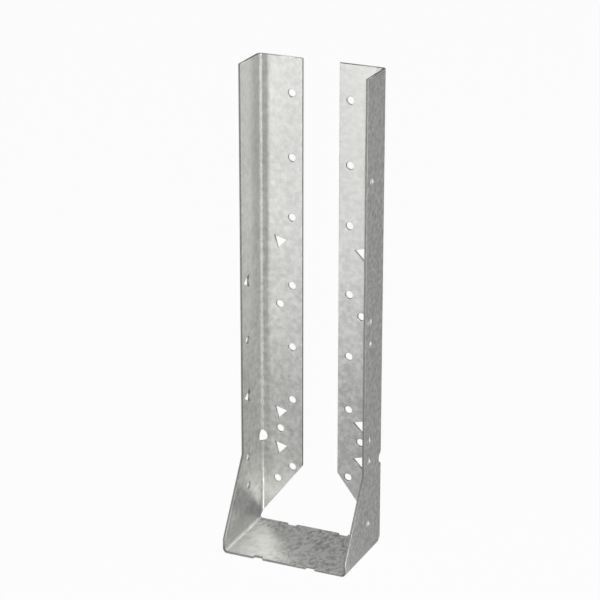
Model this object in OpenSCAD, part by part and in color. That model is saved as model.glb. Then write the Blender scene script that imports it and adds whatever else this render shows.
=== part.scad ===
// Face-mount joist hanger with concealed flanges, folded from one galvanised steel sheet.
// Millimetres, +Z up. X runs across the joist, -Y faces the joist, +Y faces the header.
// Origin: middle of the width and of the seat depth, on the underside of the seat.

/* [Joist pocket] */
// clear width between the two side plates
inside_width = 90.5; // [84:0.5:140]
// underside of the seat to the top edge of the sides
hanger_height = 348; // [300:1:400]
// back face of the flanges to the front edge of the seat
seat_depth = 63.5; // [58:0.5:80]

/* [Sheet] */
// sheet thickness, 14 gauge with its zinc
sheet_t = 1.9; // [1.5:0.1:2.7]
// inside radius of every fold
bend_r = 1.6; // [1.2:0.1:2.4]
// seat back edge and lower sides, forward of where the vertical folds start
relief_gap = 0.9; // [0.5:0.1:2]

/* [Flanges] */
// outer side face to the inner edge of a flange
flange_w = 33.5; // [31:0.5:37]
// height of the flange's inner lower corner, where its diagonal foot starts
flange_tip_z = 47.6; // [44:0.2:54]
// outer end of the diagonal foot, above the folds of the seat
foot_gap = 0.5; // [0.3:0.1:3]

/* [Sides] */
// back face of the flanges to the front edge of the upper sides
side_w = 32; // [28:0.5:40]
// height at which the front edge starts to slope out
flare_top_z = 63; // [55:1:80]
// height at which the slope reaches the full seat depth
flare_foot_z = 10.5; // [8:0.5:20]

/* [Nail holes] */
// round nail hole, and the circle that fits inside a triangular one
nail_hole_d = 5.6; // [4.2:0.1:6.2]
// outer column of face nails, from the inner edge of the flange
face_edge_inset = 8; // [7:0.5:10]
// inner column of face nails, from the outer side face
face_bend_inset = 16.2; // [15:0.2:17]
// lowest face nail, from the outer side face
face_low_inset = 13.9; // [12:0.1:15]
// joist nails, from the front edge of the upper sides
joist_edge_inset = 8; // [7:0.5:10]
// least distance from a hole's centre to the top edge of the sheet
top_margin = 12; // [8:1:20]
// heights of the outer column of round face holes
face_outer_z = [45.4, 97.4, 137.7, 183.7, 233.8, 277, 322.8]; // [44:0.1:388]
// heights of the inner column of round face holes
face_inner_z = [73.9, 168.8]; // [60:0.1:388]
// height of the lowest round face hole
face_low_z = 34.4; // [33:0.1:38]
// heights of the triangular face holes
face_tri_z = [59.4, 87, 215.5]; // [50:0.1:388]
// heights of the round joist holes, left side
left_round_z = [35.8, 57.8, 147.2]; // [20:0.1:388]
// heights of the triangular joist holes, left side
left_tri_z = [104.7, 190.9]; // [20:0.1:388]
// heights of the round joist holes, right side
right_round_z = [23.9, 71.8, 159.5, 275.6]; // [20:0.1:388]
// heights of the triangular joist holes, right side
right_tri_z = [87.7, 175.8]; // [20:0.1:388]

/* [Tooling marks] */
// round hole punched across each vertical fold
fold_hole_d = 8.6; // [6:0.2:10]
// height of the holes across the folds
fold_hole_z = 66; // [62:0.5:72]
// middle to middle of the two locating notches in each seat edge
notch_spacing = 40; // [30:1:60]
// width of the locating notches
notch_w = 7; // [5:0.5:9]
// depth of the locating notches
notch_d = 2.5; // [2:0.1:3.5]
// radius of the inner corners of the notches
notch_r = 1.2; // [0.5:0.1:2]

/* [Hidden] */
$fn = 64;
cut = 1;                                   // overrun of every cutting solid
outside_w = inside_width + 2 * sheet_t;
half_w = outside_w / 2;
half_in = inside_width / 2;
bend_out = bend_r + sheet_t;               // outside radius of every fold
front_y = -seat_depth / 2;
back_y = seat_depth / 2;
seat_back_y = back_y - bend_out - relief_gap;
side_front_y = back_y - side_w;
joist_hole_y = side_front_y + joist_edge_inset;
flange_edge_x = half_w - flange_w;
flange_foot_z = bend_out + foot_gap;
face_outer_x = flange_edge_x + face_edge_inset;
face_inner_x = half_w - face_bend_inset;
face_low_x = half_w - face_low_inset;
tri_r = nail_hole_d;                       // circle of the corners, twice the inscribed one
hole_top_z = hanger_height - top_margin;

// rectangle from y 0 upwards whose two lower corners are rounded
module rounded_foot_2d(half, top, r) {
  translate([-half, r]) square([2 * half, top - r]);
  translate([-half + r, 0]) square([2 * (half - r), top]);
  for (s = [-1, 1])
    translate([s * (half - r), r]) circle(r);
}

// box with rounded lower side edges and rounded back side edges
module rounded_block(half, bottom, top, front, back, r) {
  intersection() {
    translate([0, back, bottom])
      rotate([90, 0, 0])
        linear_extrude(back - front)
          rounded_foot_2d(half, top - bottom, r);
    translate([0, back, bottom])
      mirror([0, 1, 0])
        linear_extrude(top - bottom)
          rounded_foot_2d(half, back - front, r);
  }
}

// folded shell before trimming: seat, sides and a full back wall
module folded_shell() {
  difference() {
    rounded_block(half_w, 0, hanger_height, front_y, back_y, bend_out);
    rounded_block(half_in, sheet_t, hanger_height + cut, front_y - cut, back_y - sheet_t, bend_r);
  }
}

// opens the gap between the flanges, cuts their diagonal feet, the corner reliefs
// and the back edge of the seat
module back_trim() {
  run = cut * (flange_tip_z - flange_foot_z) / flange_w;
  translate([0, back_y + cut, 0])
    rotate([90, 0, 0])
      linear_extrude(back_y + cut - seat_back_y)
        polygon([
          [-flange_edge_x, hanger_height + cut], [-flange_edge_x, flange_tip_z],
          [-half_w - cut, flange_foot_z - run], [-half_w - cut, -cut],
          [half_w + cut, -cut], [half_w + cut, flange_foot_z - run],
          [flange_edge_x, flange_tip_z], [flange_edge_x, hanger_height + cut]
        ]);
}

// narrows the sides above the seat and slopes their front edges
module front_trim() {
  translate([-half_w - cut, 0, 0])
    rotate([90, 0, 90])
      linear_extrude(outside_w + 2 * cut)
        polygon([
          [side_front_y, hanger_height + cut], [front_y - cut, hanger_height + cut],
          [front_y - cut, flare_foot_z], [front_y, flare_foot_z], [side_front_y, flare_top_z]
        ]);
}

// punch for one nail hole, along +Z through the sheet: round, or a triangle when corners is 3
module nail_punch(corners) {
  if (corners == 3)
    cylinder(h = sheet_t + 2 * cut, r = tri_r, $fn = 3);
  else
    cylinder(h = sheet_t + 2 * cut, d = nail_hole_d);
}

// face nail hole in the flange on the given side; a triangle turns one corner to the middle
module face_hole(side, inset_x, z, corners) {
  if (z <= hole_top_z)
    translate([side * inset_x, back_y + cut, z])
      mirror([side > 0 ? 1 : 0, 0, 0])
        rotate([90, 0, 0])
          rotate([0, 0, 15])
            nail_punch(corners);
}

module face_holes() {
  for (side = [-1, 1]) {
    for (z = face_outer_z) face_hole(side, face_outer_x, z, 0);
    for (z = face_inner_z) face_hole(side, face_inner_x, z, 0);
    for (z = face_tri_z) face_hole(side, face_inner_x, z, 3);
    face_hole(side, face_low_x, face_low_z, 0);
  }
}

// joist nail hole in the plate on the given side; a triangle turns one corner to the front
module joist_hole(side, z, corners) {
  if (z <= hole_top_z)
    translate([side > 0 ? half_in - cut : -half_w - cut, joist_hole_y, z])
      rotate([90, 0, 90])
        rotate([0, 0, 180])
          nail_punch(corners);
}

module joist_holes() {
  for (z = left_round_z) joist_hole(-1, z, 0);
  for (z = left_tri_z) joist_hole(-1, z, 3);
  for (z = right_round_z) joist_hole(1, z, 0);
  for (z = right_tri_z) joist_hole(1, z, 3);
}

// hole across each vertical fold, square to the diagonal of the corner
module fold_holes() {
  for (side = [-1, 1])
    translate([side * (half_w + cut), back_y + cut, fold_hole_z])
      rotate([90, 0, -side * 45])
        cylinder(h = 3 * bend_out, d = fold_hole_d);
}

// shallow notch with rounded inner corners, open towards +Y
module seat_notch() {
  translate([-notch_w / 2, notch_r, -cut])
    cube([notch_w, notch_d - notch_r + cut, sheet_t + 2 * cut]);
  translate([-notch_w / 2 + notch_r, 0, -cut])
    cube([notch_w - 2 * notch_r, notch_d + cut, sheet_t + 2 * cut]);
  for (side = [-1, 1])
    translate([side * (notch_w / 2 - notch_r), notch_r, -cut])
      cylinder(h = sheet_t + 2 * cut, r = notch_r);
}

module seat_notches() {
  for (side = [-1, 1]) {
    translate([side * notch_spacing / 2, seat_back_y - notch_d, 0])
      seat_notch();
    translate([side * notch_spacing / 2, front_y + notch_d, 0])
      mirror([0, 1, 0])
        seat_notch();
  }
}

module hanger() {
  color([0.74, 0.76, 0.75])
    difference() {
      folded_shell();
      back_trim();
      front_trim();
      face_holes();
      joist_holes();
      fold_holes();
      seat_notches();
    }
}

hanger();
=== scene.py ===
"""A folded steel joist hanger: its blank is punched, thickened and folded, then given its zinc."""
import logging
import math
from dataclasses import dataclass
from enum import Enum
from typing import Any, Iterable, Mapping, Sequence, Union

import bmesh
import bpy
from mathutils import Matrix, Vector
from mathutils.geometry import delaunay_2d_cdt


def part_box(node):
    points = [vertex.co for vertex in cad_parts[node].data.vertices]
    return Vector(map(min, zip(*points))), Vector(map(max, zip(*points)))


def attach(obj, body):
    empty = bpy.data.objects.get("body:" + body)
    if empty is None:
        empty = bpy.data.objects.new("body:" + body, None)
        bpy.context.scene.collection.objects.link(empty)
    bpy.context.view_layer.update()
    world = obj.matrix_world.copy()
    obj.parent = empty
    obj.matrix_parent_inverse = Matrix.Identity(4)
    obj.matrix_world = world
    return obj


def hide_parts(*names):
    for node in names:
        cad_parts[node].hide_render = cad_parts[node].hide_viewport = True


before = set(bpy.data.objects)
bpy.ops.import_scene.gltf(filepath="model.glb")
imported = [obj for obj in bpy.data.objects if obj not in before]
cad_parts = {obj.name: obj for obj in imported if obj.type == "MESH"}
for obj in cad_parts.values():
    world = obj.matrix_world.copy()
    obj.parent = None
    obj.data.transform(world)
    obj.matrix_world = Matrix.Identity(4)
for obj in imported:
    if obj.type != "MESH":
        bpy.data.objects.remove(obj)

log = logging.getLogger("hanger")

MM = 0.001
Point = tuple[float, float]
Triple = tuple[float, float, float]
Colour = Triple
Number = Union[float, "Value"]


# ---------------------------------------------------------------- node trees

class Value:
    """An output in a node tree. One that holds a number takes part in plain arithmetic."""

    def __init__(self, graph: "Graph", socket: bpy.types.NodeSocket) -> None:
        """Wraps an output socket of a node in the graph's tree."""
        self.graph = graph
        self.socket = socket

    def __add__(self, other: Number) -> "Value":
        """self + other."""
        return self.graph.math("ADD", self, other)

    __radd__ = __add__

    def __sub__(self, other: Number) -> "Value":
        """self - other."""
        return self.graph.math("SUBTRACT", self, other)

    def __rsub__(self, other: Number) -> "Value":
        """other - self."""
        return self.graph.math("SUBTRACT", other, self)

    def __mul__(self, other: Number) -> "Value":
        """self * other."""
        return self.graph.math("MULTIPLY", self, other)

    __rmul__ = __mul__

    def __truediv__(self, other: Number) -> "Value":
        """self / other."""
        return self.graph.math("DIVIDE", self, other)

    def __gt__(self, other: Number) -> "Value":
        """1 where self is greater than other, else 0."""
        return self.graph.math("GREATER_THAN", self, other)

    def __lt__(self, other: Number) -> "Value":
        """1 where self is less than other, else 0."""
        return self.graph.math("LESS_THAN", self, other)


class Graph:
    """Builds one node tree, for a material, the world or Geometry Nodes."""

    def __init__(self, tree: bpy.types.NodeTree) -> None:
        """Starts on an empty tree."""
        self.tree = tree
        tree.nodes.clear()

    def node(self, kind: str, settings: Mapping[str, Any] | None = None,
             inputs: Mapping[Union[str, int], Any] | None = None) -> bpy.types.Node:
        """Adds a node.

        Args:
            kind: the node's type name.
            settings: its properties, set first.
            inputs: values or links by socket name, identifier or number.

        Returns:
            The new node.
        """
        made = self.tree.nodes.new(kind)
        for name, value in (settings or {}).items():
            setattr(made, name, value)
        for key, value in (inputs or {}).items():
            self._feed(self._find(made, key), value)
        return made

    def out(self, kind: str, output: Union[str, int] = 0, settings: Mapping[str, Any] | None = None,
            inputs: Mapping[Union[str, int], Any] | None = None) -> Value:
        """Adds a node and returns one of its outputs, taking the same arguments as node."""
        return Value(self, self.node(kind, settings, inputs).outputs[output])

    def math(self, operation: str, *operands: Number) -> Value:
        """Adds a Math node for the operation on its operands and returns its result."""
        return self.out("ShaderNodeMath", 0, {"operation": operation}, dict(enumerate(operands)))

    def vector(self, operation: str, *operands: Union[Value, Triple]) -> Value:
        """Adds a Vector Math node for the operation on its operands and returns its result."""
        return self.out("ShaderNodeVectorMath", 0, {"operation": operation},
                        dict(enumerate(operands)))

    def parts(self, vector: Value) -> tuple[Value, ...]:
        """Returns a vector's three numbers."""
        split = self.node("ShaderNodeSeparateXYZ", None, {0: vector})
        return tuple(Value(self, output) for output in split.outputs)

    def blend(self, share: Number, first: Colour, second: Colour) -> Value:
        """Mixes two plain colours by a share that runs from 0 to 1."""
        return self.out("ShaderNodeMix", 2, {"data_type": "RGBA"},
                        {"Factor_Float": share, "A_Color": (*first, 1.0),
                         "B_Color": (*second, 1.0)})

    def seen(self, direct: Number, mirrored: Number) -> Value:
        """Chooses a level by how a surface is seen.

        Args:
            direct: the level for a straight view.
            mirrored: the level for a view by gloss or through glass.

        Returns:
            The level, which is 0 for every other kind of light path.
        """
        path = self.node("ShaderNodeLightPath")
        camera = Value(self, path.outputs["Is Camera Ray"])
        gloss = Value(self, path.outputs["Is Glossy Ray"])
        through = Value(self, path.outputs["Is Transmission Ray"])
        return direct * camera + mirrored * (gloss + through)

    @staticmethod
    def _find(made: bpy.types.Node, key: Union[str, int]) -> bpy.types.NodeSocket:
        """Finds one of a node's inputs.

        Args:
            made: the node.
            key: the input's number, identifier or name.

        Returns:
            The input socket.
        """
        if isinstance(key, int):
            return made.inputs[key]
        for socket in made.inputs:
            if socket.identifier == key:
                return socket
        return made.inputs[key]

    def _feed(self, socket: bpy.types.NodeSocket, value: Any) -> None:
        """Gives an input its value.

        Args:
            socket: the input.
            value: a Value or an output socket to link, or a plain value to set.
        """
        if isinstance(value, Value):
            value = value.socket
        if isinstance(value, bpy.types.NodeSocket):
            self.tree.links.new(value, socket)
        else:
            socket.default_value = value


@dataclass(frozen=True)
class Ramp:
    """A soft step from a first level to a last one, as a value goes from a start to an end."""

    start: float
    end: float
    first: float = 0.0
    last: float = 1.0

    def of(self, value: Value) -> Value:
        """Returns the level at a value."""
        return value.graph.out(
            "ShaderNodeMapRange", 0, {"interpolation_type": "SMOOTHSTEP"},
            {"Value": value, "From Min": self.start, "From Max": self.end,
             "To Min": self.first, "To Max": self.last})


# ---------------------------------------------------------------- finishes

class SheetPlace:
    """Where a point of the folded sheet lay in its flat blank, in metres."""

    def __init__(self, graph: Graph) -> None:
        """Reads the place and splits it.

        Args:
            graph: the material's graph.
        """
        self.graph = graph
        self.point = graph.out("ShaderNodeAttribute", "Vector", {"attribute_name": "flat_place"})
        self.across, self.along, self.depth = graph.parts(self.point)
        self.up = graph.math("ABSOLUTE", self.across)

    def read(self, name: str) -> Value:
        """Reads one of the sheet's number attributes."""
        return self.graph.out("ShaderNodeAttribute", "Fac", {"attribute_name": name})

    def stretched(self, scale: Triple) -> Value:
        """Returns the place scaled along the sheet's own directions."""
        return self.graph.vector("MULTIPLY", self.point, scale)


def shader_graph(name: str) -> tuple[bpy.types.Material, Graph]:
    """Makes an empty node material.

    Args:
        name: the material's name.

    Returns:
        The material and its graph.
    """
    material = bpy.data.materials.new(name)
    material.use_nodes = True
    return material, Graph(material.node_tree)


@dataclass(frozen=True)
class ZincCoat:
    """Hot-dip zinc on the broad faces: a fine soft spangle under a dull metal sheen.

    A tone of 0 gives the dark colour and 1 the light one. Ramps run over metres on the flat
    blank: up a side from the seat's middle, along from front to back, or past an upright fold.
    Besides the spangle, the tone carries painted light and shade: a painted highlight in the
    upright folds, painted shade beside them, and painted light on the seat, plates and flanges.
    """

    dark: Colour = (0.482, 0.486, 0.468)
    light: Colour = (0.953, 0.959, 0.933)
    metal: float = 0.75
    roughness: float = 0.36
    bump: float = 0.2
    bump_height: float = 0.02 * MM

    # the spangle's patterns, and how much of the tone each takes
    noise_roughness: float = 0.55
    patch_edge: Ramp = Ramp(0.32, 0.68)
    crystal_size: float = 2.8 * MM
    crystal_drift: float = 1.3
    crystal_drift_scale: float = 1.4
    crystal_share: float = 0.16
    crystal_gloss: float = 0.04
    mottle_size: float = 3.6 * MM
    mottle_share: float = 0.28
    mottle_gloss: float = 0.05
    streak_size: float = 2.6 * MM
    streak_share: float = 0.2
    streak_stretch: Triple = (1.0, 0.25, 1.0)
    cloud_size: float = 60.0 * MM
    cloud_share: float = 0.2
    grain_up: Ramp = Ramp(0.06, 0.36, 1.35, 0.7)
    grain_foot: Ramp = Ramp(0.075, 0.105, 0.6, 0.0)
    grain_flange: Ramp = Ramp(0.028, 0.034)
    grain_outside: float = 1.6

    # the seat: painted light all over, and a painted mottled reflection but for its left front
    seat_edge: Ramp = Ramp(0.040, 0.046, 1.0, 0.0)
    seat_painted_light: float = 0.18
    reflection_patch_size: float = 3.4 * MM
    reflection_patch_stretch: Triple = (1.5, 0.85, 1.0)
    reflection_patch_share: float = 1.05
    reflection_patch_lift: float = 0.04
    reflection_patch_side: Ramp = Ramp(-0.026, 0.004)
    reflection_patch_back: Ramp = Ramp(0.008, 0.018)

    # the upright folds: a painted highlight inside, and a smoother surface there
    upright: Ramp = Ramp(0.048, 0.052)
    fold_highlight: Ramp = Ramp(0.0, 0.35)
    fold_highlight_up: Ramp = Ramp(0.066, 0.082, 0.1, 1.0)
    fold_highlight_share: float = 0.45
    polish: float = 0.16
    polish_up: Ramp = Ramp(0.066, 0.082, 0.4, 1.0)

    # the side plates: painted light towards the front and the top, painted shade by the fold and at
    # the foot
    plate: Ramp = Ramp(0.0048, 0.0062, 1.0, 0.0)
    plate_front: Ramp = Ramp(-0.021, -0.006, 1.0, 0.0)
    front_painted_light: Ramp = Ramp(0.16, 0.29, 0.0, 0.27)
    fold_shade: Ramp = Ramp(0.14, 0.35, 0.0, 0.28)
    plate_shade: Ramp = Ramp(0.047, 0.049, 0.0, 0.155)
    plate_shade_ease: Ramp = Ramp(0.07, 0.10, 0.0, 0.09)
    plate_shade_top_ease: Ramp = Ramp(0.22, 0.33, 0.0, 0.055)
    foot_shade: Ramp = Ramp(0.047, 0.049, 0.0, 0.32)
    foot_top: Ramp = Ramp(0.056, 0.068, 1.0, 0.0)

    # the flanges: a belt of painted light round their middle, and painted shade at the right one's
    # top
    light_belt_share: float = 0.18
    light_belt_low: Ramp = Ramp(0.14, 0.21)
    light_belt_high: Ramp = Ramp(0.25, 0.33, 1.0, 0.0)
    right_top_shade: Ramp = Ramp(0.25, 0.36, 0.0, 0.14)

    # how much darker the rounded rim of a cut is where it has dropped this far
    rim_dull: float = 0.9
    rim_drop: float = 0.3 * MM

    def material(self, blank: "Blank") -> bpy.types.Material:
        """Builds the coat's material.

        Args:
            blank: the flat blank that it lies on.

        Returns:
            The material.
        """
        material, g = shader_graph("zinc_coat")
        sheet = SheetPlace(g)
        crystals = self._crystals(g, sheet.point)
        mottle = self._patches(g, sheet.point, self.mottle_size, detail=3.0)
        cloud = self._noise(g, sheet.point, self.cloud_size)
        streak = self._noise(g, sheet.stretched(self.streak_stretch), self.streak_size)
        uneven = (self.mottle_share * (mottle - 0.5) + self.crystal_share * (crystals - 0.5)
                  + self.streak_share * (streak - 0.5))
        inner = sheet.depth > 0.5 * blank.stock.thickness * MM
        foot = self.grain_foot.of(sheet.up) * self.grain_flange.of(sheet.along)
        grain = (inner * (self.grain_up.of(sheet.up) - foot)
                 + self.grain_outside * (1.0 - inner))
        bend = sheet.read("bend")
        # painted highlight and painted light and shade by the upright folds
        fold = self._fold_tone(sheet, sheet.along - blank.crease * MM,
                               self.upright.of(sheet.up) * bend)
        tone = (0.5 + grain * uneven + self.cloud_share * (cloud - 0.5)
                + self._seat_tone(g, sheet) + inner * fold
                - self.rim_dull * sheet.read("drop") / self.rim_drop)
        gloss = self.mottle_gloss * (mottle - 0.5) + self.crystal_gloss * (crystals - 0.5)
        roughness = self.roughness - self.polish * bend * self.polish_up.of(sheet.up) + gloss
        relief = g.out("ShaderNodeBump", "Normal", None,
                       {"Strength": self.bump, "Distance": self.bump_height,
                        "Height": crystals + mottle})
        shader = g.node("ShaderNodeBsdfPrincipled", None,
                        {"Base Color": g.blend(tone, self.dark, self.light),
                         "Metallic": self.metal, "Roughness": roughness, "Normal": relief})
        g.node("ShaderNodeOutputMaterial", None, {"Surface": shader.outputs[0]})
        return material

    def _seat_tone(self, g: Graph, sheet: SheetPlace) -> Value:
        """Works out how the seat's tone differs from the sides'.

        Args:
            g: the material's graph.
            sheet: places in the flat blank.

        Returns:
            The change of tone: painted light all over, with a painted mottled reflection of light
                and dark patches but for the left front.
        """
        reflection_patches = self._patches(g, sheet.stretched(self.reflection_patch_stretch), self.reflection_patch_size)
        seat = self.seat_edge.of(sheet.up)
        reflection_mask = seat * g.math("MAXIMUM", self.reflection_patch_side.of(sheet.across),
                                self.reflection_patch_back.of(sheet.along))
        # painted light over the whole seat, and a painted mottled reflection but for its left front
        return (reflection_mask * (self.reflection_patch_share * (reflection_patches - 0.5) + self.reflection_patch_lift)
                + self.seat_painted_light * seat)

    def _fold_tone(self, sheet: SheetPlace, past: Value, bend: Value) -> Value:
        """Works out the painted highlight and the painted light and shade by the upright folds, on
        the inside.

        Args:
            sheet: places in the flat blank.
            past: distance past the middle of the upright fold, towards the flange's free edge.
            bend: how deep in the upright fold a place lies.

        Returns:
            The change of tone on side plates, folds and flanges: a painted highlight in the folds,
            and painted light and shade around them.
        """
        up = sheet.up
        # painted highlight along the inside of the upright folds
        fold_highlight = self.fold_highlight.of(bend)
        plate = self.plate.of(past)
        front = self.plate_front.of(past)
        flange = 1.0 - plate
        # painted light towards the front of the side plates, higher up
        painted_front_light = self.front_painted_light.of(up) * front
        # a belt of painted light round the flanges' middle
        light_belt = self.light_belt_share * flange * self.light_belt_low.of(up) * self.light_belt_high.of(up)
        # painted shade in a band either side of the upright fold, stronger higher up
        painted_fold_shade = self.fold_shade.of(up) * (plate - front)
        # painted shade low on the sides, just above the seat fold
        foot = self.foot_shade.of(up) * self.foot_top.of(up)
        # painted shade over the side plates and the band beside the fold, strongest low down
        painted_plate_shade = plate * (self.plate_shade.of(up) - self.plate_shade_ease.of(up)
                         - self.plate_shade_top_ease.of(up))
        # painted shade at the top of the right flange
        right = self.right_top_shade.of(sheet.across) * flange
        return (self.fold_highlight_share * self.fold_highlight_up.of(up) * fold_highlight + painted_front_light + light_belt - right
                - (painted_fold_shade + foot + painted_plate_shade) * (1.0 - fold_highlight))

    def _noise(self, g: Graph, place: Value, size: float, detail: float = 2.0) -> Value:
        """Returns soft noise whose patches are about half the given size."""
        return g.out("ShaderNodeTexNoise", 0, None,
                     {"Vector": place, "Scale": 1.0 / size, "Detail": detail,
                      "Roughness": self.noise_roughness})

    def _patches(self, g: Graph, place: Value, size: float, detail: float = 2.0) -> Value:
        """Returns noise stretched to patches that mostly lie near 0 or 1."""
        return self.patch_edge.of(self._noise(g, place, size, detail))

    def _crystals(self, g: Graph, place: Value) -> Value:
        """Gives each zinc crystal a tone of its own, with wandering borders.

        Args:
            g: the material's graph.
            place: the place in the flat blank.

        Returns:
            A tone from 0 to 1.
        """
        drift = g.out("ShaderNodeTexNoise", "Color", None,
                      {"Vector": place, "Scale": self.crystal_drift_scale / self.crystal_size,
                       "Detail": 3.0})
        centred = g.vector("SUBTRACT", drift, (0.5, 0.5, 0.5))
        reach = self.crystal_drift * self.crystal_size
        pushed = g.vector("MULTIPLY_ADD", centred, (reach, reach, reach), place)
        cells = g.out("ShaderNodeTexVoronoi", "Color", None,
                      {"Vector": pushed, "Scale": 1.0 / self.crystal_size, "Randomness": 1.0})
        return g.out("ShaderNodeSeparateColor", 0, None, {0: cells})


@dataclass(frozen=True)
class CutEdge:
    """Bare steel where the sheet was sheared or punched, darker than its zinc."""

    name: str
    dark: Colour
    light: Colour
    right_wall_painted_light: float = 0.0
    line_size: float = MM / 2.2
    line_stretch: Triple = (1.0, 1.0, 0.12)
    line_share: float = 0.4
    line_gloss: float = 0.12
    line_bump: float = 0.3
    line_height: float = 0.03 * MM
    seat_edge_painted_light: float = 0.22
    top_margin: float = 0.5 * MM
    fold_margin: float = 1.0 * MM
    zinc_share: float = 0.6
    zinc_dull: float = 0.7
    right_wall_less_metal: float = 0.5
    metal: float = 0.85
    roughness: float = 0.42

    def material(self, blank: "Blank") -> bpy.types.Material:
        """Builds the edge's material, with fine lines through the sheet.

        Args:
            blank: the flat blank, which tells where zinc is left, on the flanges' top edges,
                and where the right side plate's hole walls get painted light.

        Returns:
            The material.
        """
        material, g = shader_graph(self.name)
        sheet = SheetPlace(g)
        lines = g.out("ShaderNodeTexNoise", "Fac", None,
                      {"Vector": sheet.stretched(self.line_stretch),
                       "Scale": 1.0 / self.line_size, "Detail": 2.0})
        zinc = ((sheet.up > blank.top * MM - self.top_margin)
                * (sheet.along > blank.crease * MM + self.fold_margin))
        # painted light on the seat's cut edges
        seat = sheet.up < blank.seat_fold * MM
        # painted light on the hole walls towards the front of the right side
        side = (self.right_wall_painted_light * (sheet.along < 0.5 * blank.half_depth * MM)
                * (sheet.across > 0.0))
        share = (self.line_share * lines + self.zinc_share * zinc + self.seat_edge_painted_light * seat
                 + side)
        relief = g.out("ShaderNodeBump", "Normal", None,
                       {"Strength": self.line_bump, "Distance": self.line_height,
                        "Height": lines})
        shader = g.node("ShaderNodeBsdfPrincipled", None,
                        {"Base Color": g.blend(share, self.dark, self.light),
                         "Metallic": self.metal - self.zinc_dull * zinc - self.right_wall_less_metal * side,
                         "Roughness": self.roughness + self.line_gloss * lines,
                         "Normal": relief})
        g.node("ShaderNodeOutputMaterial", None, {"Surface": shader.outputs[0]})
        return material


@dataclass(frozen=True)
class FloorPaint:
    """Matte paint that looks white, and that metal sees as a sheen with a painted pool of light
    beside it.

    The pool's ramps run over metres along its bearing and to either side of it.
    """

    matte: Colour = (0.8, 0.8, 0.8)
    white: float = 1.0
    direct_glow: float = 0.96
    mirrored_glow: float = 0.5
    sheen: float = 0.15
    pool: float = 0.65
    pool_bearing: float = 65.0
    pool_spread: float = 0.35
    pool_near: Ramp = Ramp(0.02, 0.10)
    pool_far: Ramp = Ramp(0.1, 0.9, 1.0, 0.4)
    pool_side: Ramp = Ramp(-0.05, 0.05, 1.0, 0.0)

    def material(self) -> bpy.types.Material:
        """Builds the paint.

        Returns:
            The material.
        """
        material, g = shader_graph("pale_floor")
        x, y, _ = g.parts(g.out("ShaderNodeTexCoord", "Object"))
        bearing = math.radians(self.pool_bearing)
        away = math.sin(bearing) * x - math.cos(bearing) * y
        aside = g.math("ABSOLUTE", math.cos(bearing) * x + math.sin(bearing) * y)
        # a painted pool of light on the floor, which only mirrored views see
        pool = (self.pool_far.of(away) * self.pool_near.of(away)
                * self.pool_side.of(aside - self.pool_spread * away))
        level = g.seen(self.white, self.sheen + self.pool * pool)
        glow = g.node("ShaderNodeEmission", None, {"Color": (1.0, 1.0, 1.0, 1.0), "Strength": 1.0})
        dimmed = g.node("ShaderNodeMixShader", None, {0: level, 2: glow.outputs[0]})
        matte = g.node("ShaderNodeBsdfDiffuse", None, {"Color": (*self.matte, 1.0)})
        mixed = g.node("ShaderNodeMixShader", None,
                       {0: g.seen(self.direct_glow, self.mirrored_glow), 1: matte.outputs[0],
                        2: dimmed.outputs[0]})
        g.node("ShaderNodeOutputMaterial", None, {"Surface": mixed.outputs[0]})
        return material


# ---------------------------------------------------------------- the sheet

class PunchShape(Enum):
    """What a punch leaves in the sheet, by the number of its corners."""

    ROUND = 0
    TRIANGLE = 3


@dataclass(frozen=True)
class Punch:
    """One hole in the flat blank, in millimetres and degrees."""

    shape: PunchShape
    u: float
    v: float
    radius: float
    turn: float = 0.0
    segments: int = 40

    def outline(self) -> list[Point]:
        """Lays out the hole.

        Returns:
            Its corner points, counter-clockwise.
        """
        count = self.shape.value or self.segments
        start = math.radians(self.turn)
        return [(self.u + self.radius * math.cos(start + math.tau * k / count),
                 self.v + self.radius * math.sin(start + math.tau * k / count))
                for k in range(count)]


@dataclass(frozen=True)
class SheetStock:
    """The steel sheet and how it folds, in millimetres."""

    thickness: float = 1.9
    inside_radius: float = 1.6
    neutral_share: float = 0.42
    shear_radius: float = 0.30
    punch_radius: float = 0.42
    edge_steps: int = 3
    fold_steps: int = 8

    @property
    def outside_radius(self) -> float:
        """The radius of a fold's outer face."""
        return self.inside_radius + self.thickness

    @property
    def fold_length(self) -> float:
        """The flat length that goes into one square fold."""
        return math.pi / 2 * (self.inside_radius + self.neutral_share * self.thickness)


def shifted(loop: Sequence[Point], distance: float) -> list[Point]:
    """Moves every side of a closed loop to its left and joins the sides again at their corners.

    Args:
        loop: the corner points in order.
        distance: how far to the left; a negative distance goes to the right.

    Returns:
        The moved corner points, as many as before.
    """
    moved: list[Point] = []
    for before, here, after in zip([loop[-1], *loop[:-1]], loop, [*loop[1:], loop[0]]):
        first = Vector((before[1] - here[1], here[0] - before[0])).normalized()
        second = Vector((here[1] - after[1], after[0] - here[0])).normalized()
        step = (first + second) * (distance / (1.0 + first.dot(second)))
        moved.append((here[0] + step.x, here[1] + step.y))
    return moved


def contains(loop: Sequence[Point], point: Point) -> bool:
    """Tells whether a closed loop holds a point.

    Args:
        loop: the loop's corner points in order.
        point: the point.

    Returns:
        True if the point lies inside the loop.
    """
    x, y = point
    inside = False
    for (ax, ay), (bx, by) in zip(loop, [*loop[1:], loop[0]]):
        if (ay > y) != (by > y) and x < ax + (bx - ax) * (y - ay) / (by - ay):
            inside = not inside
    return inside


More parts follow.
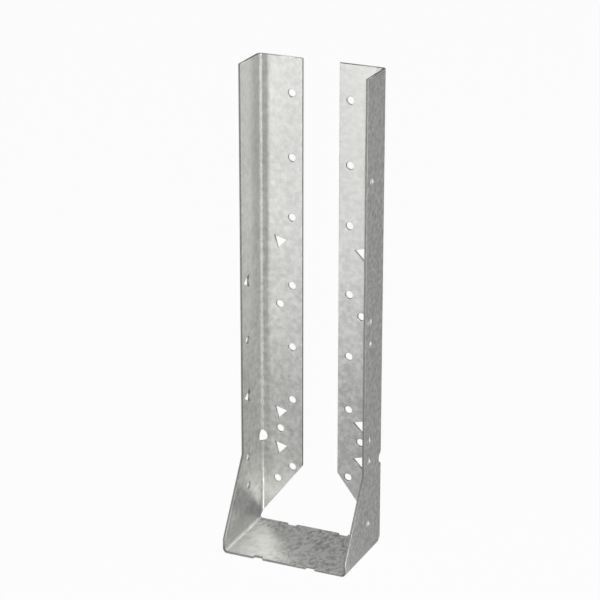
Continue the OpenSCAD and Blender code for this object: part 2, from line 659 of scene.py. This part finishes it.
@dataclass
class Blank:
    """The flat cut sheet in millimetres: u runs up both sides from the seat, v front to back.

    Heights are above the seat's underside, and each row of holes is given by its heights.
    Joist holes are in the side plates, left then right. Face holes are alike on both flanges.
    """

    stock: SheetStock
    half_width: float
    height: float
    half_depth: float
    relief_gap: float = 0.9
    flange_width: float = 33.5
    flange_tip: float = 47.6
    foot_gap: float = 0.5
    side_width: float = 32.0
    flare_top: float = 63.0
    flare_foot: float = 10.5
    nail_radius: float = 2.8
    triangle_turn: float = 15.0
    fold_hole_radius: float = 4.4
    fold_hole_height: float = 66.0
    fold_hole_segments: int = 64
    notch_place: float = 20.0
    notch_width: float = 7.0
    notch_depth: float = 2.5
    notch_radius: float = 1.2
    notch_steps: int = 4
    joist_edge_inset: float = 8.0
    face_edge_inset: float = 8.0
    face_bend_inset: float = 16.2
    face_low_inset: float = 13.9
    face_outer: tuple[float, ...] = (45.4, 97.4, 137.7, 183.7, 233.8, 277.0, 322.8)
    face_inner: tuple[float, ...] = (73.9, 168.8)
    face_low: float = 34.4
    face_triangles: tuple[float, ...] = (59.4, 87.0, 215.5)
    joist_round: tuple[tuple[float, ...], ...] = (
        (35.8, 57.8, 147.2), (23.9, 71.8, 159.5, 275.6))
    joist_triangles: tuple[tuple[float, ...], ...] = ((104.7, 190.9), (87.7, 175.8))
    ledge: float = 0.3
    overshoot: float = 1.0
    weld: float = 1e-5

    @property
    def seat_fold(self) -> float:
        """Where the folds at the seat's sides start, from the middle."""
        return self.half_width - self.stock.outside_radius

    @property
    def back_fold(self) -> float:
        """Where the folds at the sides' back edges start."""
        return self.half_depth - self.stock.outside_radius

    @property
    def crease(self) -> float:
        """Where the middle of the upright folds lies."""
        return self.back_fold + self.stock.fold_length / 2

    @property
    def top(self) -> float:
        """The flat place u of the top edges."""
        return self.up(self.height)

    def up(self, height: float) -> float:
        """Returns the flat place u of a height on a side plate."""
        return self.seat_fold + self.stock.fold_length + height - self.stock.outside_radius

    def along(self, inset: float) -> float:
        """Returns the flat place v of a distance across a flange from the outer side face."""
        return self.back_fold + self.stock.fold_length + inset - self.stock.outside_radius

    def outline(self) -> list[Point]:
        """Lays out the whole blank.

        Returns:
            Its corner points, counter-clockwise from the middle of the front edge.
        """
        right = self._right_half()
        left = [(-u, v) for u, v in reversed(right) if u > 0]
        return right + left

    def _right_half(self) -> list[Point]:
        """Lays out the right half of the blank.

        Returns:
            Its corner points, from the front edge round to the back edge.
        """
        fold = self.stock.outside_radius
        front = -self.half_depth
        back = self.back_fold - self.relief_gap
        foot = fold + self.foot_gap
        slope = (self.flange_tip - foot) / self.flange_width
        side_front = self.half_depth - self.side_width
        return [
            (0.0, front),
            *self._notch(front, 1.0),
            (self.up(self.flare_foot), front),
            (self.up(self.flare_top), side_front),
            (self.top, side_front),
            (self.top, self.along(self.flange_width)),
            (self.up(self.flange_tip), self.along(self.flange_width)),
            (self.up(foot + fold * slope), self.along(fold)),
            (self.up(foot), self.back_fold),
            (self.up(foot), back),
            *reversed(self._notch(back, -1.0)),
            (0.0, back),
        ]

    def _notch(self, edge: float, inward: float) -> list[Point]:
        """Lays out a locating notch in one of the seat's edges.

        Args:
            edge: the flat place v of the edge.
            inward: +1 if the sheet lies behind the edge, -1 if it lies in front of it.

        Returns:
            The notch's points in order of u.
        """
        near = self.notch_place - self.notch_width / 2
        far = self.notch_place + self.notch_width / 2
        r = self.notch_radius
        floor = self.notch_depth - r
        turn = [math.pi / 2 * k / self.notch_steps for k in range(self.notch_steps + 1)]
        first = [(near + r - r * math.cos(a), edge + inward * (floor + r * math.sin(a)))
                 for a in turn]
        last = [(far - r + r * math.sin(a), edge + inward * (floor + r * math.cos(a)))
                for a in turn]
        return [(near, edge), *first, *last, (far, edge)]

    def punches(self) -> list[Punch]:
        """Lays out the holes.

        Returns:
            Every hole of the blank. A triangle's inscribed circle is a nail hole.
        """
        made: list[Punch] = []
        outer = self.along(self.flange_width - self.face_edge_inset)
        inner = self.along(self.face_bend_inset)
        low = self.along(self.face_low_inset)
        joist = self.half_depth - self.side_width + self.joist_edge_inset
        corner = 2 * self.nail_radius
        for index, side in enumerate((-1.0, 1.0)):
            holes = [(z, outer) for z in self.face_outer] + [(z, inner) for z in self.face_inner]
            holes += [(self.face_low, low)] + [(z, joist) for z in self.joist_round[index]]
            made += [Punch(PunchShape.ROUND, side * self.up(z), v, self.nail_radius)
                     for z, v in holes]
            made += [Punch(PunchShape.TRIANGLE, side * self.up(z), inner, corner,
                           90.0 - side * self.triangle_turn) for z in self.face_triangles]
            made += [Punch(PunchShape.TRIANGLE, side * self.up(z), joist, corner, -90.0)
                     for z in self.joist_triangles[index]]
            made.append(Punch(PunchShape.ROUND, side * self.up(self.fold_hole_height),
                              self.crease, self.fold_hole_radius, 0.0, self.fold_hole_segments))
        return made

    def _creases(self) -> list[tuple[Point, Point]]:
        """Lays out the lines that each fold needs in the mesh.

        Returns:
            Each line's two ends. Lines lie a step apart, with one more just past each side.
        """
        steps = self.stock.fold_steps
        length = self.stock.fold_length
        offsets = [-self.ledge, *(length * k / steps for k in range(steps + 1)),
                   length + self.ledge]
        reach = self.half_depth + 2 * self.flange_width
        lines: list[tuple[Point, Point]] = []
        for offset in offsets:
            v = self.back_fold + offset
            for side in (-1.0, 1.0):
                u = side * (self.seat_fold + offset)
                lines.append(((u, -reach), (u, self.back_fold - self.relief_gap)))
                lines.append(((side * self.up(0.0), v), (side * (self.top + self.overshoot), v)))
        return lines

    def _rims(self, outline: list[Point], holes: Sequence[list[Point]]
              ) -> Iterable[tuple[float, bool, list[Point]]]:
        """Lays out the loops of each rounded edge.

        Args:
            outline: the blank's corner points.
            holes: each hole's corner points.

        Yields:
            How far a loop drops, whether it is a hole's, and its points.
        """
        cuts = [(outline, self.stock.shear_radius, 1.0)]
        cuts += [(hole, self.stock.punch_radius, -1.0) for hole in holes]
        for loop, radius, inward in cuts:
            for step in range(self.stock.edge_steps + 1):
                angle = math.pi / 2 * step / self.stock.edge_steps
                yield (radius * (1.0 - math.sin(angle)), inward < 0,
                       shifted(loop, inward * radius * (1.0 - math.cos(angle))))

    def mesh(self) -> bpy.types.Mesh:
        """Triangulates the blank with its holes left open.

        Returns:
            A flat mesh in metres. Its points carry how far a rounded edge drops there, as "drop",
            and 1 where the edge is a hole's, as "punched".
        """
        outline = self.outline()
        holes = [punch.outline() for punch in self.punches()]
        points: list[Vector] = []
        edges: list[tuple[int, int]] = []
        rims: list[tuple[float, bool]] = []
        for drop, punched, loop in self._rims(outline, holes):
            first = len(points)
            points += [Vector(p) for p in loop]
            edges += [(first + k, first + (k + 1) % len(loop)) for k in range(len(loop))]
            rims += [(drop * MM, punched)] * len(loop)
        for start, end in self._creases():
            edges.append((len(points), len(points) + 1))
            points += [Vector(start), Vector(end)]
        placed, lines, faces, _, origins, _ = delaunay_2d_cdt(
            points, edges, [], 0, self.weld, True)

        bm = bmesh.new()
        sink = bm.verts.layers.float.new("drop")
        hole_edge = bm.verts.layers.float.new("punched")
        verts = [bm.verts.new((p.x * MM, p.y * MM, 0.0)) for p in placed]
        for line, sources in zip(lines, origins):
            for drop, punched in (rims[k] for k in sources if k < len(rims)):
                for vert in (verts[k] for k in line):
                    vert[sink] = max(vert[sink], drop)
                    vert[hole_edge] = float(punched)
        for face in faces:
            middle = sum((placed[k] for k in face), Vector((0.0, 0.0))) / len(face)
            if contains(outline, middle.to_tuple()) and not any(
                    contains(hole, middle.to_tuple()) for hole in holes):
                bm.faces.new([verts[k] for k in face])
        bmesh.ops.delete(bm, geom=[v for v in bm.verts if not v.link_faces], context="VERTS")
        bmesh.ops.recalc_face_normals(bm, faces=bm.faces[:])
        if next(iter(bm.faces)).normal.z < 0:
            bmesh.ops.reverse_faces(bm, faces=bm.faces[:])
        mesh = bpy.data.meshes.new("blank")
        bm.to_mesh(mesh)
        bm.free()
        log.info("blank: %d points, %d faces, %d holes",
                 len(placed), len(mesh.polygons), len(holes))
        return mesh


# ---------------------------------------------------------------- folding

class FoldPress:
    """A Geometry Nodes tree that thickens a flat blank, rounds its edges and folds it up."""

    SIZES = ("Thickness", "Outside Radius", "Fold Length", "Seat Fold", "Back Fold")
    FINISHES = ("Face Finish", "Shear Finish", "Punch Finish")
    WELD = 0.0004 * MM

    def __init__(self) -> None:
        """Builds the tree with its named inputs."""
        tree = bpy.data.node_groups.new("fold_press", "GeometryNodeTree")
        sockets = tree.interface
        sockets.new_socket("Blank", in_out="INPUT", socket_type="NodeSocketGeometry")
        for name in self.SIZES:
            sockets.new_socket(name, in_out="INPUT", socket_type="NodeSocketFloat")
        for name in self.FINISHES:
            sockets.new_socket(name, in_out="INPUT", socket_type="NodeSocketMaterial")
        sockets.new_socket("Hanger", in_out="OUTPUT", socket_type="NodeSocketGeometry")
        self.tree = tree
        self.graph = Graph(tree)
        self._build()

    def _build(self) -> None:
        """Lays out the nodes: sheet, rounded edges, folds, finishes."""
        g = self.graph
        given = g.node("NodeGroupInput")
        size = {name: Value(g, given.outputs[name]) for name in self.SIZES}
        sheet = self._sheet(given.outputs["Blank"], size["Thickness"])
        depth = g.parts(g.out("GeometryNodeInputPosition"))[2]
        upper = depth > size["Thickness"] * 0.5
        sink = self._attribute("drop") * (1.0 - 2.0 * upper)
        rounded = g.out("GeometryNodeSetPosition", 0, None,
                        {"Geometry": sheet,
                         "Offset": g.out("ShaderNodeCombineXYZ", 0, None, {"Z": sink})})
        marked = self._store(rounded, "flat_place", "FLOAT_VECTOR",
                             g.out("GeometryNodeInputPosition"))
        place, bend = self._folded(size)
        bent = self._store(marked, "bend", "FLOAT", bend)
        folded = g.out("GeometryNodeSetPosition", 0, None, {"Geometry": bent, "Position": place})
        smooth = g.out("GeometryNodeSetShadeSmooth", 0, None, {"Geometry": folded})
        real = g.out("GeometryNodeRealizeInstances", 0, None, {"Geometry": smooth})
        wall = self._attribute("wall") > 0.5
        hole_wall = wall * (self._attribute("punched") > 0.5)
        for name, selection in zip(self.FINISHES, (True, wall, hole_wall)):
            real = g.out("GeometryNodeSetMaterial", 0, None,
                         {"Geometry": real, "Selection": selection,
                          "Material": given.outputs[name]})
        g.node("NodeGroupOutput", None, {"Hanger": real})

    def _attribute(self, name: str) -> Value:
        """Reads one of the blank's number attributes."""
        return self.graph.out("GeometryNodeInputNamedAttribute", "Attribute",
                              {"data_type": "FLOAT"}, {"Name": name})

    def _store(self, geometry: Value, name: str, kind: str, value: Value) -> Value:
        """Stores a value of the given kind on the points, and returns the geometry."""
        return self.graph.out("GeometryNodeStoreNamedAttribute", 0,
                              {"data_type": kind, "domain": "POINT"},
                              {"Geometry": geometry, "Name": name, "Value": value})

    def _sheet(self, flat: bpy.types.NodeSocket, thickness: Value) -> Value:
        """Gives the flat faces their thickness and marks the walls.

        Args:
            flat: the flat blank.
            thickness: the sheet's thickness.

        Returns:
            A closed sheet with its outer face at height 0.
        """
        g = self.graph
        raised = g.node("GeometryNodeExtrudeMesh", {"mode": "FACES"},
                        {"Mesh": flat, "Offset": (0.0, 0.0, 1.0), "Offset Scale": thickness,
                         "Individual": False})
        walls = g.node("GeometryNodeStoreNamedAttribute", {"data_type": "FLOAT", "domain": "FACE"},
                       {"Geometry": raised.outputs["Mesh"], "Selection": raised.outputs["Side"],
                        "Name": "wall", "Value": 1.0})
        under = g.node("GeometryNodeFlipFaces", None, {"Mesh": flat})
        both = g.node("GeometryNodeJoinGeometry")
        for piece in (walls.outputs[0], under.outputs[0]):
            g.tree.links.new(piece, both.inputs[0])
        return g.out("GeometryNodeMergeByDistance", 0, None,
                     {"Geometry": both.outputs[0], "Distance": self.WELD})

    def _folded(self, size: Mapping[str, Value]) -> tuple[Value, Value]:
        """Works out where a point of the flat sheet lies once flanges and sides are folded up.

        Args:
            size: the tree's sizes.

        Returns:
            The folded place, and how deep in a fold the point lies, from 0 at its ends to 1.
        """
        g = self.graph
        u, v, depth = g.parts(g.out("GeometryNodeInputPosition"))
        y, depth, back_bend = self._fold(v, depth, size["Back Fold"], size)
        side = g.math("SIGN", u)
        reach, z, seat_bend = self._fold(g.math("ABSOLUTE", u), depth, size["Seat Fold"], size)
        place = g.out("ShaderNodeCombineXYZ", 0, None, {"X": side * reach, "Y": y, "Z": z})
        return place, g.math("MAXIMUM", back_bend, seat_bend)

    def _fold(self, place: Value, depth: Value, start: Value,
              size: Mapping[str, Value]) -> tuple[Value, Value, Value]:
        """Folds a section square up past a start line.

        Args:
            place: distance along the flat sheet.
            depth: height above the sheet's outer face.
            start: where the fold starts.
            size: the tree's sizes.

        Returns:
            The folded distance, the folded height, and how deep in the fold the point lies.
        """
        g = self.graph
        past = g.math("MAXIMUM", place - start, 0.0)
        angle = g.math("MINIMUM", past / size["Fold Length"], 1.0) * (math.pi / 2)
        beyond = g.math("MAXIMUM", past - size["Fold Length"], 0.0)
        arm = size["Outside Radius"] - depth
        across = g.math("MINIMUM", place, start) + arm * g.math("SINE", angle)
        up = size["Outside Radius"] - arm * g.math("COSINE", angle) + beyond
        return across, up, g.math("SINE", angle * 2.0)

    def attach(self, piece: bpy.types.Object, values: Mapping[str, Any]) -> None:
        """Puts the tree on a piece as a modifier.

        Args:
            piece: the object that holds the flat blank.
            values: sizes and finishes by the names of the tree's inputs.
        """
        modifier = piece.modifiers.new("fold", "NODES")
        modifier.node_group = self.tree
        for item in self.tree.interface.items_tree:
            if item.in_out == "INPUT" and item.name in values:
                modifier[item.identifier] = values[item.name]


@dataclass
class Hanger:
    """The joist hanger: one sheet, punched and folded, in the box that the solid gives."""

    low: Vector
    high: Vector
    stock: SheetStock = SheetStock()
    coat: ZincCoat = ZincCoat()
    sheared: CutEdge = CutEdge("sheared_edge", (0.12, 0.12, 0.114), (0.85, 0.85, 0.83))
    # its last figure is painted light on the right side plate's hole walls
    punched: CutEdge = CutEdge("punched_edge", (0.36, 0.36, 0.34), (0.90, 0.90, 0.88), 0.55)
    flatness: int = 90

    def build(self) -> bpy.types.Object:
        """Makes the folded and dressed sheet.

        Returns:
            The piece, as one plain mesh.
        """
        size = self.high - self.low
        blank = Blank(self.stock, size.x / 2 / MM, size.z / MM, size.y / 2 / MM)
        draft = bpy.data.objects.new("folding_sheet", blank.mesh())
        bpy.context.collection.objects.link(draft)
        FoldPress().attach(draft, {
            "Thickness": self.stock.thickness * MM,
            "Outside Radius": self.stock.outside_radius * MM,
            "Fold Length": self.stock.fold_length * MM,
            "Seat Fold": blank.seat_fold * MM,
            "Back Fold": blank.back_fold * MM,
            "Face Finish": self.coat.material(blank),
            "Shear Finish": self.sheared.material(blank),
            "Punch Finish": self.punched.material(blank),
        })
        draft.modifiers.new("flat_shading", "WEIGHTED_NORMAL").weight = self.flatness
        piece = self._settle(draft, "folded_sheet")
        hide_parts("hanger")
        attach(piece, "root")
        return piece

    @staticmethod
    def _settle(draft: bpy.types.Object, name: str) -> bpy.types.Object:
        """Turns an object with modifiers into a plain mesh object at the origin.

        Args:
            draft: the object, which is deleted.
            name: the new object's name.

        Returns:
            The new object.
        """
        graph = bpy.context.evaluated_depsgraph_get()
        mesh = bpy.data.meshes.new_from_object(draft.evaluated_get(graph), depsgraph=graph)
        mesh.name = name
        piece = bpy.data.objects.new(name, mesh)
        bpy.context.collection.objects.link(piece)
        flat = draft.data
        bpy.data.objects.remove(draft)
        bpy.data.meshes.remove(flat)
        return piece


# ---------------------------------------------------------------- studio

@dataclass(frozen=True)
class Softbox:
    """One oblong area lamp, in metres and watts."""

    name: str
    place: Triple
    aim: Triple
    width: float
    height: float
    power: float

    def light(self) -> bpy.types.Object:
        """Hangs the lamp and points it.

        Returns:
            The lamp.
        """
        data = bpy.data.lights.new(self.name, "AREA")
        data.shape = "RECTANGLE"
        data.size = self.width
        data.size_y = self.height
        data.energy = self.power
        lamp = bpy.data.objects.new(self.name, data)
        bpy.context.collection.objects.link(lamp)
        facing = Vector(self.aim) - Vector(self.place)
        lamp.location = self.place
        lamp.rotation_euler = facing.to_track_quat("-Z", "Y").to_euler()
        return lamp


@dataclass
class Studio:
    """A pale floor, a plain surround, soft lamps and the camera."""

    # the camera, in degrees, metres and millimetres of lens
    azimuth: float = 24.41
    elevation: float = 20.84
    roll: float = 0.02
    distance: float = 1.694
    lens: float = 149.0
    sensor: float = 36.0
    sight: float = 50.0
    aim: Triple = (-0.0019, 0.0, 0.1866)

    # the surround, which looks white, and the floor just under the hanger
    white: float = 1.0
    surround: float = 0.25
    surround_sheen: float = 0.02
    floor_radius: float = 8.0
    floor_sides: int = 96
    floor_gap: float = 0.1 * MM
    floor_paint: FloorPaint = FloorPaint()

    lamps: tuple[Softbox, ...] = (
        Softbox("low_strip", (-0.25, -0.975, 0.06), (-0.03, 0.03, 0.2), 0.09, 0.10, 0.70),
        Softbox("high_strip", (-0.296, -1.17, 0.40), (-0.03, 0.03, 0.2), 0.11, 0.30, 1.2),
        Softbox("front_fill", (0.85, -1.90, 1.10), (0.0, 0.0, 0.18), 0.5, 0.5, 24.7),
        Softbox("side_fill", (1.50, -1.00, 0.60), (0.0, 0.0, 0.18), 1.0, 1.0, 7.8),
        Softbox("rear_right", (0.75, 1.18, 0.60), (0.0, 0.0, 0.0), 0.5, 0.5, 1.27),
    )

    def build(self) -> list[bpy.types.Object]:
        """Makes the floor, the surround, the lamps and the camera.

        Returns:
            The objects made.
        """
        self._surround()
        bpy.context.scene.view_settings.view_transform = "Standard"
        return [self._floor(), *(lamp.light() for lamp in self.lamps), self._camera()]

    def _floor(self) -> bpy.types.Object:
        """Lays a pale round floor that keeps a faint shadow.

        Returns:
            The floor.
        """
        bm = bmesh.new()
        bmesh.ops.create_circle(bm, cap_ends=True, segments=self.floor_sides,
                                radius=self.floor_radius)
        mesh = bpy.data.meshes.new("floor")
        bm.to_mesh(mesh)
        bm.free()
        mesh.transform(Matrix.Translation((0.0, 0.0, -self.floor_gap)))
        mesh.materials.append(self.floor_paint.material())
        floor = bpy.data.objects.new("floor", mesh)
        bpy.context.collection.objects.link(floor)
        return floor

    def _surround(self) -> None:
        """Gives the world a soft grey light that shows white to the camera."""
        world = bpy.data.worlds.new("surround")
        world.use_nodes = True
        bpy.context.scene.world = world
        g = Graph(world.node_tree)
        strength = self.surround + g.seen(self.white - self.surround, self.surround_sheen)
        glow = g.node("ShaderNodeBackground", None,
                      {"Color": (1.0, 1.0, 1.0, 1.0), "Strength": strength})
        g.node("ShaderNodeOutputWorld", None, {"Surface": glow.outputs[0]})

    def _camera(self) -> bpy.types.Object:
        """Sets the camera on its bearing round the aim point.

        Returns:
            The camera.
        """
        turn, tilt = math.radians(self.azimuth), math.radians(self.elevation)
        back = Vector((math.sin(turn) * math.cos(tilt), -math.cos(turn) * math.cos(tilt),
                       math.sin(tilt)))
        data = bpy.data.cameras.new("camera")
        data.sensor_width = self.sensor
        data.lens = self.lens
        data.clip_end = self.sight
        camera = bpy.data.objects.new("camera", data)
        bpy.context.collection.objects.link(camera)
        camera.location = Vector(self.aim) + self.distance * back
        facing = Matrix.Rotation(turn, 3, "Z") @ Matrix.Rotation(math.pi / 2 - tilt, 3, "X")
        level = facing @ Matrix.Rotation(math.radians(self.roll), 3, "Z")
        camera.rotation_euler = level.to_euler()
        bpy.context.scene.camera = camera
        return camera


def main() -> None:
    """Builds the hanger and its studio, and notes the piece's face count and the objects that the
    studio made.
    """
    logging.basicConfig(level=logging.INFO, format="%(name)s: %(message)s")
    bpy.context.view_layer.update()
    low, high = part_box("hanger")
    sheet = Hanger(low, high).build()
    log.info("%s: %d faces", sheet.name, len(sheet.data.polygons))
    for made in Studio().build():
        log.info("%s: %s", made.name, made.type.lower())


if __name__ == "__main__":
    main()
